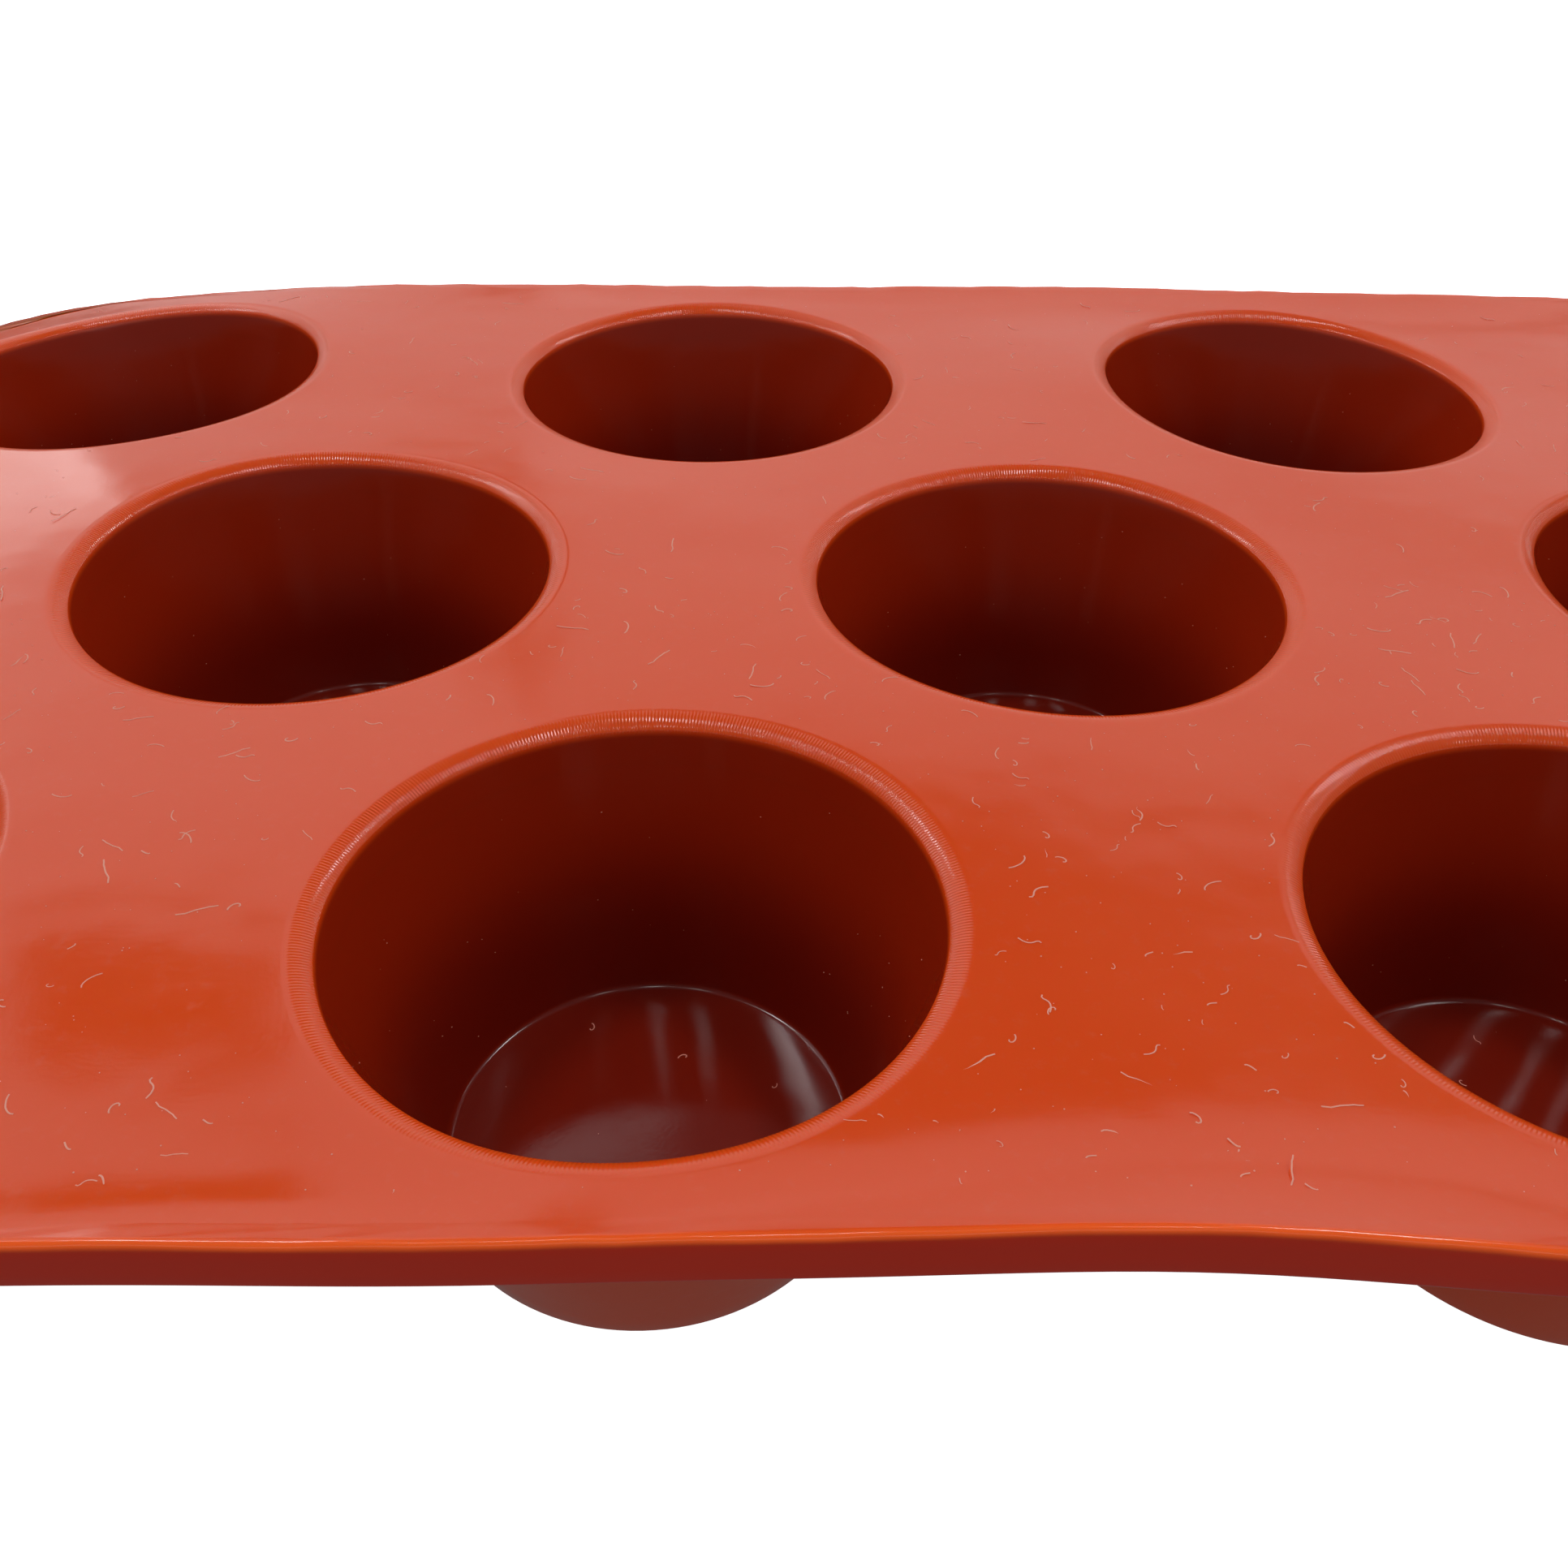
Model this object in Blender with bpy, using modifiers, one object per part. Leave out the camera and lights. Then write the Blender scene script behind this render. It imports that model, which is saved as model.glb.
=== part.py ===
"""A flexible silicone muffin mould: eleven tapered cups in three staggered rows.

The real mould is one moulding. It is modelled here by its regions, each a closed solid of its
own: the flat deck, the turned-down rim around it, and the eleven cups that hang from it.
Neighbouring regions are a hairline seam apart. Metres, +Z up, +X along the rows of cups,
standing on z = 0 on the flat bases of the cups, with the origin under the middle cup.
"""

import math

import bmesh
import bpy
from mathutils import Matrix

# The pattern of cups: how many stand in each row, from the front (-Y) to the back.
ROWS = {"front": 4, "middle": 3, "back": 4}
COLUMN_PITCH = 0.0800
ROW_PITCH = 0.0538

# A cup, inside and out. The mouth and the floor are measured where the plain cone meets the
# deck and the floor, before those edges are rounded.
MOUTH_DIAMETER = 0.0510
FLOOR_DIAMETER = 0.0370
CUP_DEPTH = 0.0280
WALL = 0.0015
FLOOR_THICKNESS = 0.0015
MOUTH_FILLET = 0.0012
FLOOR_FILLET = 0.0008
BASE_FILLET = 0.0012
COLLAR = 0.0003

# The deck and the rim around it. The webs are the least deck left between the hole for an
# outermost cup and the rim, at the ends and along the sides.
DECK_THICKNESS = 0.0018
END_WEB = 0.0007
SIDE_WEB = 0.0044
CORNER_RADIUS = 0.0180
RIM_DROP = 0.0045
RIM_THICKNESS = 0.0018
RIM_EDGE_RADIUS = 0.0008

# The seam between two regions, and how finely round shapes are divided.
SEAM = 0.0003
CUP_SIDES = 32
FILLET_STEPS = 2
CORNER_STEPS = 8
CUTTER_OVERRUN = 0.002

# What follows from the sizes above.
MOUTH_RADIUS = MOUTH_DIAMETER / 2
FLOOR_RADIUS = FLOOR_DIAMETER / 2
TAPER = math.atan2(MOUTH_RADIUS - FLOOR_RADIUS, CUP_DEPTH)
LIP_RADIUS = MOUTH_RADIUS + MOUTH_FILLET * math.tan((math.pi / 2 - TAPER) / 2)
SHOULDER_RADIUS = MOUTH_RADIUS - DECK_THICKNESS * math.tan(TAPER) + WALL / math.cos(TAPER)
COLLAR_RADIUS = max(LIP_RADIUS, SHOULDER_RADIUS) + COLLAR
HOLE_RADIUS = COLLAR_RADIUS + SEAM
BORDER = SEAM + RIM_THICKNESS
DECK_TOP = FLOOR_THICKNESS + CUP_DEPTH
DECK_UNDERSIDE = DECK_TOP - DECK_THICKNESS
LENGTH = (max(ROWS.values()) - 1) * COLUMN_PITCH + 2 * (HOLE_RADIUS + END_WEB + BORDER)
WIDTH = (len(ROWS) - 1) * ROW_PITCH + 2 * (HOLE_RADIUS + SIDE_WEB + BORDER)

# The silicone is one terracotta rubber throughout, a little glossier inside the cups.
SILICONE_COLOUR = (0.55, 0.07, 0.03, 1.0)
DECK_ROUGHNESS = 0.42
CUP_ROUGHNESS = 0.30


def clear_scene():
    for obj in list(bpy.data.objects):
        bpy.data.objects.remove(obj)


def new_collection(name):
    collection = bpy.data.collections.new(name)
    bpy.context.scene.collection.children.link(collection)
    return collection


def silicone(name, roughness):
    material = bpy.data.materials.new(name)
    material.use_nodes = True
    shader = material.node_tree.nodes["Principled BSDF"]
    shader.inputs["Base Color"].default_value = SILICONE_COLOUR
    shader.inputs["Roughness"].default_value = roughness
    shader.inputs["Metallic"].default_value = 0.0
    return material


def add_object(name, mesh, collection, material=None):
    obj = bpy.data.objects.new(name, mesh)
    collection.objects.link(obj)
    if material:
        mesh.materials.append(material)
    return obj


def as_cutter(obj):
    obj.hide_render = True
    obj.display_type = "WIRE"
    return obj


def cut_with(obj, cutter):
    boolean = obj.modifiers.new(f"cut_{cutter.name}", "BOOLEAN")
    boolean.operation = "DIFFERENCE"
    boolean.solver = "EXACT"
    boolean.object = cutter


def cup_places():
    """(name, x, y) of every cup, each row centred on the mould."""
    places = []
    for row, (row_name, count) in enumerate(ROWS.items()):
        y = (row - (len(ROWS) - 1) / 2) * ROW_PITCH
        for column in range(count):
            x = (column - (count - 1) / 2) * COLUMN_PITCH
            places.append((f"cup_{row_name}_{column + 1}", x, y))
    return places


def rounded_slab(name, length, width, bottom, top, corner_radius):
    """A flat slab with round corners, centred on the Z axis."""
    bm = bmesh.new()
    bmesh.ops.create_cube(bm, size=1.0)
    bmesh.ops.scale(bm, vec=(length, width, top - bottom), verts=bm.verts)
    bmesh.ops.translate(bm, vec=(0, 0, (top + bottom) / 2), verts=bm.verts)
    corners = [e for e in bm.edges if abs(e.verts[0].co.z - e.verts[1].co.z) > (top - bottom) / 2]
    bmesh.ops.bevel(
        bm, geom=corners, offset=corner_radius, segments=CORNER_STEPS, profile=0.5, affect="EDGES"
    )
    mesh = bpy.data.meshes.new(name)
    bm.to_mesh(mesh)
    bm.free()
    return mesh


def make_rim(collection, cutters, material):
    """The turned-down border: a slab with rounded edges, bored out to its wall thickness."""
    mesh = rounded_slab("rim", LENGTH, WIDTH, DECK_TOP - RIM_DROP, DECK_TOP, CORNER_RADIUS)
    rim = add_object("rim", mesh, collection, material)
    rounding = rim.modifiers.new("round_edges", "BEVEL")
    rounding.width = RIM_EDGE_RADIUS
    rounding.segments = FILLET_STEPS
    rounding.limit_method = "ANGLE"
    rounding.angle_limit = math.radians(60)
    opening = rounded_slab(
        "rim_opening",
        LENGTH - 2 * RIM_THICKNESS,
        WIDTH - 2 * RIM_THICKNESS,
        DECK_TOP - RIM_DROP - CUTTER_OVERRUN,
        DECK_TOP + CUTTER_OVERRUN,
        CORNER_RADIUS - RIM_THICKNESS,
    )
    cut_with(rim, as_cutter(add_object("rim_opening", opening, cutters)))
    rim.data.shade_smooth()
    rim.data.set_sharp_from_angle(angle=math.radians(40))
    return rim


def make_deck(collection, cutters, material):
    """The flat web inside the rim, with a round hole for each cup."""
    mesh = rounded_slab(
        "deck",
        LENGTH - 2 * BORDER,
        WIDTH - 2 * BORDER,
        DECK_UNDERSIDE,
        DECK_TOP,
        CORNER_RADIUS - BORDER,
    )
    deck = add_object("deck", mesh, collection, material)
    holes = bmesh.new()
    for _, x, y in cup_places():
        bmesh.ops.create_cone(
            holes,
            cap_ends=True,
            segments=CUP_SIDES,
            radius1=HOLE_RADIUS,
            radius2=HOLE_RADIUS,
            depth=DECK_THICKNESS + 2 * CUTTER_OVERRUN,
            matrix=Matrix.Translation((x, y, (DECK_TOP + DECK_UNDERSIDE) / 2)),
        )
    hole_mesh = bpy.data.meshes.new("cup_holes")
    holes.to_mesh(hole_mesh)
    holes.free()
    cut_with(deck, as_cutter(add_object("cup_holes", hole_mesh, cutters)))
    return deck


def arc(centre, radius, start, end):
    """Points on an arc in the (radius, height) plane, angles in degrees, both ends included."""
    points = []
    for step in range(FILLET_STEPS + 1):
        angle = math.radians(start + (end - start) * step / FILLET_STEPS)
        points.append((centre[0] + radius * math.cos(angle), centre[1] + radius * math.sin(angle)))
    return points


def cup_profile():
    """The cup's half section, from the middle of its floor up the inside, over the lip, and
    down the outside to the middle of its base."""
    slope = math.tan(TAPER)
    across = math.cos(TAPER)
    taper_degrees = math.degrees(TAPER)

    def inner_radius(height):
        return FLOOR_RADIUS + (height - FLOOR_THICKNESS) * slope

    def outer_radius(height):
        return inner_radius(height) + WALL / across

    # A fillet touches a flat and the sloping wall, so its centre stands one radius off each.
    floor_height = FLOOR_THICKNESS + FLOOR_FILLET
    lip_height = DECK_TOP - MOUTH_FILLET
    floor_centre = (inner_radius(floor_height) - FLOOR_FILLET / across, floor_height)
    lip_centre = (inner_radius(lip_height) + MOUTH_FILLET / across, lip_height)
    base_centre = (outer_radius(BASE_FILLET) - BASE_FILLET / across, BASE_FILLET)
    profile = [(0.0, FLOOR_THICKNESS)]
    profile += arc(floor_centre, FLOOR_FILLET, -90, -taper_degrees)
    profile += arc(lip_centre, MOUTH_FILLET, 180 - taper_degrees, 90)
    profile += [(COLLAR_RADIUS, DECK_TOP), (COLLAR_RADIUS, DECK_UNDERSIDE)]
    profile += [(SHOULDER_RADIUS, DECK_UNDERSIDE)]
    profile += arc(base_centre, BASE_FILLET, -taper_degrees, -90)
    profile += [(0.0, 0.0)]
    return profile


def make_cup(name, x, y, profile, collection, material):
    """One cup, turned about its own axis."""
    mesh = bpy.data.meshes.new(name)
    mesh.from_pydata(
        [(radius, 0.0, height) for radius, height in profile],
        [(i, i + 1) for i in range(len(profile) - 1)],
        [],
    )
    cup = add_object(name, mesh, collection, material)
    cup.location = (x, y, 0.0)
    turn = cup.modifiers.new("turn", "SCREW")
    turn.axis = "Z"
    turn.angle = math.tau
    turn.steps = CUP_SIDES
    turn.render_steps = CUP_SIDES
    turn.use_merge_vertices = True
    turn.merge_threshold = 0.00001
    turn.use_smooth_shade = True
    return cup


def main():
    clear_scene()
    mould = new_collection("muffin_mould")
    cutters = new_collection("cutters")
    deck_material = silicone("silicone_deck", DECK_ROUGHNESS)
    cup_material = silicone("silicone_cup", CUP_ROUGHNESS)
    make_rim(mould, cutters, deck_material)
    make_deck(mould, cutters, deck_material)
    profile = cup_profile()
    for name, x, y in cup_places():
        make_cup(name, x, y, profile, mould, cup_material)


main()
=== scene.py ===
# %% [markdown]
# # A flexible silicone muffin mould
#
# This notebook dresses a plain engineering model of a silicone muffin mould for its portrait.
# The engineering model is a flat deck, a turned-down rim and eleven tapered cups, in metres, and
# it stays the authority on size and place. What it lacks is everything that makes silicone look
# like silicone: rounded lips, a sheet that won't lie flat, a satin skin that glows where it is
# thin, and the lint that clings to it.

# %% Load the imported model
import math
import random

import bmesh
import bpy
from mathutils import Matrix, Vector, noise


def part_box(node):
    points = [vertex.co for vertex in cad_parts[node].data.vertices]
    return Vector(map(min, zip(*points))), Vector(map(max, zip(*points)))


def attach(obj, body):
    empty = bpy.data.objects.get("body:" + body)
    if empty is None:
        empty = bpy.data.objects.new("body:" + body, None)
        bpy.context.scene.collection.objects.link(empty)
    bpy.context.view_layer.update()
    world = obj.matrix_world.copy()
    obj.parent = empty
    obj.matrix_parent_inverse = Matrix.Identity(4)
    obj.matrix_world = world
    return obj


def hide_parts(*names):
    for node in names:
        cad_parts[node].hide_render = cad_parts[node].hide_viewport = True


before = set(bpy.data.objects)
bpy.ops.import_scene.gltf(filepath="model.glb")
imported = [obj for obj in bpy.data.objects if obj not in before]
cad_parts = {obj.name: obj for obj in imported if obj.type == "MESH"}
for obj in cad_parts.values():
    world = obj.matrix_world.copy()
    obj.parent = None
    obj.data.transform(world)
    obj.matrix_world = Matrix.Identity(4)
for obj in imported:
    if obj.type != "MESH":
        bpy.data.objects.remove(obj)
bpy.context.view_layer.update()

# %% [markdown]
# ## Where the cups stand
#
# Every place comes from the boxes of the model's own nodes, so the looks can't drift away from
# the engineering. A cup's box gives the centre and the radius of its collar, the deck's box
# gives the outline of the flat web, and the rim's box gives the outline of the whole sheet.

# %% Measure the frame
CUP_NAMES = sorted(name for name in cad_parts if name.startswith("cup_"))


def middle_of(name):
    low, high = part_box(name)
    return Vector(((low.x + high.x) / 2, (low.y + high.y) / 2))


CUP_CENTRES = {name: middle_of(name) for name in CUP_NAMES}
cup_low, cup_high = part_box(CUP_NAMES[0])
deck_low, deck_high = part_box("deck")
rim_low, rim_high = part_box("rim")

DECK_TOP = deck_high.z
DECK_UNDERSIDE = deck_low.z
RIM_BOTTOM = rim_low.z
COLLAR_RADIUS = (cup_high.x - cup_low.x) / 2
LENGTH = rim_high.x - rim_low.x
WIDTH = rim_high.y - rim_low.y
WEB_INSET = rim_high.x - deck_high.x
print(len(CUP_NAMES), "cups, collar radius", round(COLLAR_RADIUS, 5), "deck top", round(DECK_TOP, 5))

# %% [markdown]
# ## Helpers for working by hand
#
# Modelling operators act on whatever is selected, so each step first puts everything else down
# and takes up one piece. These few helpers do that, and pick loops of edges by their place.

# %% Take up, put down and select


def put_down():
    """Leaves edit mode and deselects everything."""
    if bpy.context.object and bpy.context.object.mode != "OBJECT":
        bpy.ops.object.mode_set(mode="OBJECT")
    bpy.ops.object.select_all(action="DESELECT")


def take_up(*pieces):
    """Selects these pieces alone. The last one is active."""
    put_down()
    for piece in pieces:
        piece.select_set(True)
        bpy.context.view_layer.objects.active = piece


def work_on(piece, mode="VERT"):
    """Takes a piece up in edit mode with nothing selected in it."""
    take_up(piece)
    bpy.ops.object.mode_set(mode="EDIT")
    bpy.ops.mesh.select_mode(type=mode)
    bpy.ops.mesh.select_all(action="DESELECT")


def select_border(piece, wanted):
    """Selects the open border edges whose two ends both pass the test."""
    mesh = bmesh.from_edit_mesh(piece.data)
    chosen = 0
    for edge in mesh.edges:
        if edge.is_boundary and all(wanted(vertex.co) for vertex in edge.verts):
            edge.select_set(True)
            chosen += 1
    bmesh.update_edit_mesh(piece.data)
    return chosen


# %% [markdown]
# ## A turned section
#
# A cup and a lip are both round about an upright axis, so each is drawn once as a half section
# and spun. By hand that is one vertex, extruded from point to point, and the Spin operator. The
# fillets are arcs worked out from their radius and the slope of the wall.

# %% Draw a section and spin it
SIDES = 128


def arc(centre, radius, start, end, steps):
    """Points along an arc in the plane of radius and height, angles in degrees."""
    points = []
    for step in range(steps + 1):
        angle = math.radians(start + (end - start) * step / steps)
        points.append((centre[0] + radius * math.cos(angle), centre[1] + radius * math.sin(angle)))
    return points


def straight(start, end, steps):
    """Points between two others, both left out."""
    return [
        tuple(a + (b - a) * step / steps for a, b in zip(start, end)) for step in range(1, steps)
    ]


def turned(name, section):
    """Extrudes a vertex along a half section and spins it round the Z axis."""
    put_down()
    bpy.ops.mesh.primitive_plane_add(size=0.001)
    piece = bpy.context.object
    piece.name = piece.data.name = name
    bpy.ops.object.mode_set(mode="EDIT")
    bpy.ops.mesh.select_mode(type="VERT")
    bpy.ops.mesh.select_all(action="SELECT")
    bpy.ops.mesh.merge(type="CENTER")
    bpy.ops.transform.translate(value=(section[0][0], 0, section[0][1]))
    for here, there in zip(section, section[1:]):
        step = (there[0] - here[0], 0, there[1] - here[1])
        bpy.ops.mesh.extrude_region_move(TRANSFORM_OT_translate={"value": step})
    bpy.ops.mesh.select_all(action="SELECT")
    bpy.ops.mesh.spin(steps=SIDES, angle=math.tau, center=(0, 0, 0), axis=(0, 0, 1))
    bpy.ops.mesh.select_all(action="SELECT")
    bpy.ops.mesh.remove_doubles(threshold=1e-6)
    bpy.ops.mesh.normals_make_consistent(inside=False)
    bpy.ops.object.mode_set(mode="OBJECT")
    return piece


# %% [markdown]
# ## The wall's geometry
#
# The mouth is 51 mm across where the plain cone would meet the deck, and the floor 37 mm. The
# moulding tool rounds every edge that a finger would meet, with a generous radius at the lip,
# because that is where a cake is pushed out. The sheet and each cup are separate pieces that
# meet on a ring inside the throat, a few millimetres down, where the wall is plain: there the
# joint can't be seen, and each cup keeps its own name.

# %% Sizes of the wall
MOUTH_RADIUS = 0.0255
FLOOR_RADIUS = 0.0185
WALL = 0.0015
FLOOR_THICKNESS = 0.0015
LIP_ROUND = 0.0034
LIP_TURN = 40
LIP_CREASE = 0.0003
FLOOR_FILLET = 0.0007
BASE_FILLET = 0.0008
HOLLOW_FILLET = 0.0003
JOINT_DEPTH = 0.0042

TAPER = math.atan2(MOUTH_RADIUS - FLOOR_RADIUS, DECK_TOP - FLOOR_THICKNESS)
SLOPE = math.tan(TAPER)
ACROSS = math.cos(TAPER)
TAPER_DEGREES = math.degrees(TAPER)
JOINT_HEIGHT = DECK_TOP - JOINT_DEPTH


def inner_radius(height):
    return MOUTH_RADIUS - (DECK_TOP - height) * SLOPE


def outer_radius(height):
    return inner_radius(height) + WALL / ACROSS


# %% [markdown]
# ## The cup
#
# The section runs from the middle of the floor, round the small floor fillet, up the inside to
# the joint, across the wall, and down the outside to the middle of the base. The long straights
# are divided, so that the wall can bend later with the sheet.

# %% Turn one cup
WALL_STEPS = 12
FLOOR_STEPS = 6


def cup_section():
    floor_centre = (
        inner_radius(FLOOR_THICKNESS + FLOOR_FILLET) - FLOOR_FILLET / ACROSS,
        FLOOR_THICKNESS + FLOOR_FILLET,
    )
    base_centre = (outer_radius(BASE_FILLET) - BASE_FILLET / ACROSS, BASE_FILLET)
    floor_round = arc(floor_centre, FLOOR_FILLET, -90, -TAPER_DEGREES, 5)
    base_round = arc(base_centre, BASE_FILLET, -TAPER_DEGREES, -90, 5)
    joint_inside = (inner_radius(JOINT_HEIGHT), JOINT_HEIGHT)
    joint_outside = (outer_radius(JOINT_HEIGHT), JOINT_HEIGHT)
    section = [(0.0, FLOOR_THICKNESS)]
    section += straight(section[-1], floor_round[0], FLOOR_STEPS)
    section += floor_round
    section += straight(floor_round[-1], joint_inside, WALL_STEPS)
    section += [joint_inside, joint_outside]
    section += straight(joint_outside, base_round[0], WALL_STEPS)
    section += base_round
    section += straight(base_round[-1], (0.0, 0.0), FLOOR_STEPS)
    section += [(0.0, 0.0)]
    return section


pattern_cup = turned("pattern_cup", cup_section())
print("one cup:", len(pattern_cup.data.polygons), "faces")

# %% [markdown]
# ## The lip
#
# The lip is the rounded border between the deck and a cup. Its section starts flat on the deck
# and rolls over a wide, easy round. Before that round is as steep as the wall, it meets the wall
# in a tight crease, which is the sharp line that is seen inside every mouth. The section then
# runs down the throat to the joint, crosses the wall, and comes back up the outside to the
# deck's underside. It is open at both ends, where the deck's webs join it.

# %% Round the lip
LIP_STEPS = 10
CREASE_STEPS = 3


def polar(length, degrees):
    angle = math.radians(degrees)
    return Vector((length * math.cos(angle), length * math.sin(angle)))


def lip_rounds():
    """The wide round and the crease, tangent to each other and to the wall."""
    end = 90 + LIP_TURN
    to_crease = polar(LIP_ROUND - LIP_CREASE, end)
    to_wall = to_crease + polar(LIP_CREASE, 180 - TAPER_DEGREES)
    height = DECK_TOP - LIP_ROUND
    start = inner_radius(height + to_wall.y) - to_wall.x
    crease_centre = Vector((start, height)) + to_crease
    wide = arc((start, height), LIP_ROUND, 90, end, LIP_STEPS)
    crease = arc(crease_centre, LIP_CREASE, end, 180 - TAPER_DEGREES, CREASE_STEPS)
    return wide + crease[1:]


FLAT_BEFORE_LIP = 0.00005
LIP_START = lip_rounds()[0][0] + FLAT_BEFORE_LIP
print("the lip starts", round(LIP_START, 5), "from the axis")

# %% Turn one lip


def lip_section():
    hollow_height = DECK_UNDERSIDE - HOLLOW_FILLET
    hollow_centre = (outer_radius(hollow_height) + HOLLOW_FILLET / ACROSS, hollow_height)
    rounds = lip_rounds()
    hollow_round = arc(hollow_centre, HOLLOW_FILLET, 180 - TAPER_DEGREES, 90, 3)
    joint_inside = (inner_radius(JOINT_HEIGHT), JOINT_HEIGHT)
    joint_outside = (outer_radius(JOINT_HEIGHT), JOINT_HEIGHT)
    section = [(LIP_START, DECK_TOP)] + rounds
    section += straight(rounds[-1], joint_inside, 3)
    section += [joint_inside, joint_outside]
    section += hollow_round
    section += [(LIP_START, DECK_UNDERSIDE)]
    return section


pattern_lip = turned("pattern_lip", lip_section())
print("one lip:", len(pattern_lip.data.polygons), "faces")

# %% [markdown]
# ## The web between the cups
#
# The flat of the deck has to bend softly later, so it is a fine grid and not a few large faces.
# It starts as a slab: a grid, extruded down by the deck's thickness. Two Boolean cuts give the
# slab its shape, as they only work well on closed solids. One leaves what is inside the rounded
# outline, and the other takes out a round hole for each lip. The upright walls that the cuts
# leave are then deleted, as the rim and the lips will take their place.

# %% Make the cutters
GRID_STEP = 0.0025
HOLE_CLEARANCE = 0.0001
CORNER_RADIUS = 0.018
CORNER_STEPS = 16
CUTTER_HEIGHT = 0.01


def apply_cut(piece, cutter, operation):
    take_up(piece)
    boolean = piece.modifiers.new("cut", "BOOLEAN")
    boolean.operation = operation
    boolean.solver = "EXACT"
    boolean.object = cutter
    bpy.ops.object.modifier_apply(modifier="cut")


def outline_block():
    """A block with the web's rounded outline."""
    put_down()
    bpy.ops.mesh.primitive_cube_add(size=1, location=(0, 0, DECK_TOP))
    block = bpy.context.object
    bpy.ops.object.mode_set(mode="EDIT")
    size = (LENGTH - 2 * WEB_INSET, WIDTH - 2 * WEB_INSET, CUTTER_HEIGHT)
    bpy.ops.transform.resize(value=size)
    bpy.ops.mesh.select_mode(type="EDGE")
    bpy.ops.mesh.select_all(action="DESELECT")
    mesh = bmesh.from_edit_mesh(block.data)
    for edge in mesh.edges:
        a, b = (vertex.co for vertex in edge.verts)
        edge.select_set(abs(a.z - b.z) > CUTTER_HEIGHT / 2)
    bmesh.update_edit_mesh(block.data)
    radius = CORNER_RADIUS - WEB_INSET
    bpy.ops.mesh.bevel(offset=radius, segments=CORNER_STEPS, affect="EDGES")
    bpy.ops.object.mode_set(mode="OBJECT")
    return block


def hole_plugs():
    """A plug for each cup, all in one cutter."""
    plugs = []
    for centre in CUP_CENTRES.values():
        put_down()
        bpy.ops.mesh.primitive_cylinder_add(
            vertices=SIDES,
            radius=LIP_START + HOLE_CLEARANCE,
            depth=CUTTER_HEIGHT,
            location=(centre.x, centre.y, DECK_TOP),
        )
        plugs.append(bpy.context.object)
    take_up(*plugs)
    bpy.ops.object.join()
    return bpy.context.object


print("the cutters leave", round(HOLE_CLEARANCE * 1000, 2), "mm round each lip")

# %% Cut the web from a slab


def make_webs():
    """The top and the underside of the deck, each a grid with round holes."""
    columns = math.ceil(LENGTH / GRID_STEP)
    rows = math.ceil(WIDTH / GRID_STEP)
    put_down()
    bpy.ops.mesh.primitive_grid_add(
        x_subdivisions=columns, y_subdivisions=rows, size=1, location=(0, 0, DECK_TOP)
    )
    webs = bpy.context.object
    bpy.ops.object.mode_set(mode="EDIT")
    bpy.ops.transform.resize(value=(columns * GRID_STEP, rows * GRID_STEP, 1))
    bpy.ops.mesh.extrude_region_move(
        TRANSFORM_OT_translate={"value": (0, 0, DECK_UNDERSIDE - DECK_TOP)}
    )
    bpy.ops.mesh.select_all(action="SELECT")
    bpy.ops.mesh.normals_make_consistent(inside=False)
    bpy.ops.object.mode_set(mode="OBJECT")
    bpy.ops.object.transform_apply(location=True)
    block, plugs = outline_block(), hole_plugs()
    apply_cut(webs, block, "INTERSECT")
    apply_cut(webs, plugs, "DIFFERENCE")
    for cutter in (block, plugs):
        bpy.data.objects.remove(cutter)
    return webs


sheet = make_webs()
sheet.name = sheet.data.name = "sheet"
work_on(sheet, "FACE")
mesh = bmesh.from_edit_mesh(sheet.data)
for face in mesh.faces:
    face.select_set(abs(face.normal.z) < 0.5)
bmesh.update_edit_mesh(sheet.data)
bpy.ops.mesh.delete(type="FACE")
bpy.ops.mesh.select_all(action="SELECT")
bpy.ops.mesh.remove_doubles(threshold=1e-5)
put_down()
print("the two webs:", len(sheet.data.polygons), "faces")

# %% [markdown]
# ## The turned-down rim
#
# The border of the sheet turns down, which stiffens it. It starts as a plane whose corners are
# bevelled round, stripped of its face so that only the outline is left. The outline is then
# extruded again and again, a little outwards, round the top corner, down the face, under the
# lower edge and up the inside. Scaling can't move a rounded rectangle outwards by the same
# amount all round, so each new ring is pushed out along the outline's own normals.

# %% Draw the rim's section
RIM_THICKNESS = 0.0018
RIM_ROUND = 0.0008
RIM_FOOT_ROUND = 0.0003
RIM_HOLLOW = 0.00015
RIM_CUTS = 200


def outward(point):
    """The direction straight out of the rounded outline at a point on or near it."""
    core_x = LENGTH / 2 - CORNER_RADIUS
    core_y = WIDTH / 2 - CORNER_RADIUS
    nearest = Vector((max(-core_x, min(core_x, point.x)), max(-core_y, min(core_y, point.y))))
    return (Vector((point.x, point.y)) - nearest).normalized()


def rim_section():
    """(distance in from the sheet's outline, height) of each ring of the rim."""
    top = arc((RIM_ROUND, DECK_TOP - RIM_ROUND), RIM_ROUND, 90, 180, 5)
    foot = arc((RIM_FOOT_ROUND, RIM_BOTTOM + RIM_FOOT_ROUND), RIM_FOOT_ROUND, 180, 270, 3)
    inner_foot = (RIM_THICKNESS - RIM_FOOT_ROUND, RIM_BOTTOM + RIM_FOOT_ROUND)
    back = arc(inner_foot, RIM_FOOT_ROUND, -90, 0, 3)
    under = (RIM_THICKNESS + RIM_HOLLOW, DECK_UNDERSIDE - RIM_HOLLOW)
    hollow = arc(under, RIM_HOLLOW, 180, 90, 2)
    return top + straight(top[-1], foot[0], 3) + foot + back + hollow


print("the rim's section has", len(rim_section()), "points")

# %% Extrude the rim from an outline


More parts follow.
